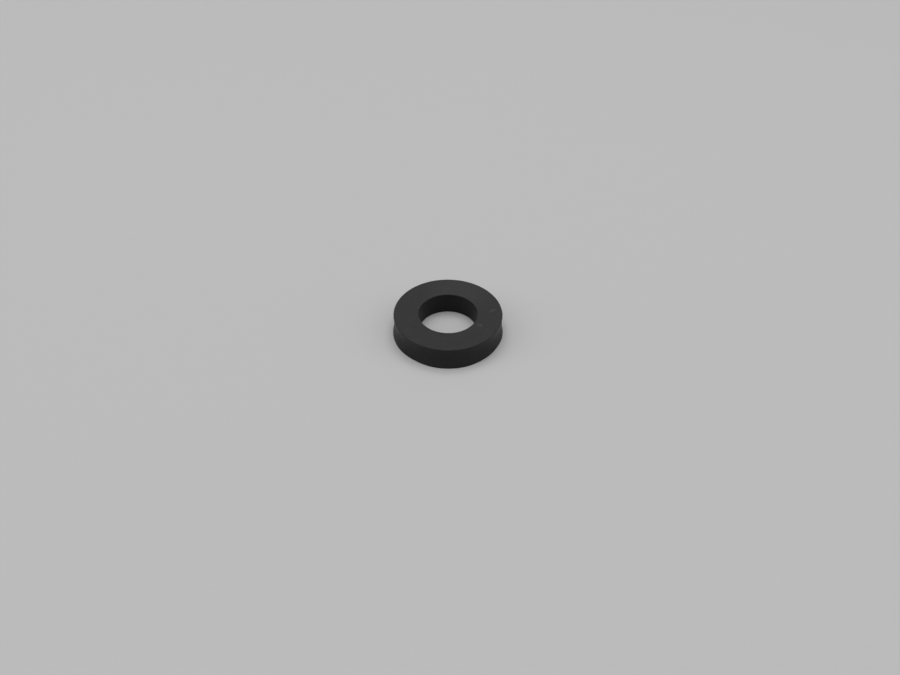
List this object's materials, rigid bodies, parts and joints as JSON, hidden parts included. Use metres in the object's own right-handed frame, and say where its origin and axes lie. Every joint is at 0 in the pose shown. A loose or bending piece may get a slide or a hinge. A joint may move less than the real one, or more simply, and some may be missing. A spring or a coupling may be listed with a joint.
{
  "type": "flat gasket",
  "caption": "Thick flat rubber sealing ring with a straight bore and a hollow punched outer wall that flares to its lower rim.",
  "frame": {"origin": "centre of the lower sealing face, on the ring's axis", "axes": "+Z along the ring's axis, from the lower sealing face to the upper one; +X and +Y are any two radial directions, because the ring is round"},
  "size_m": [0.015, 0.015, 0.0031],
  "materials": {
    "black_rubber": "matte"
  },
  "bodies": {
    "root": {"gasket_ring": "black_rubber"}
  },
  "joints": []
}
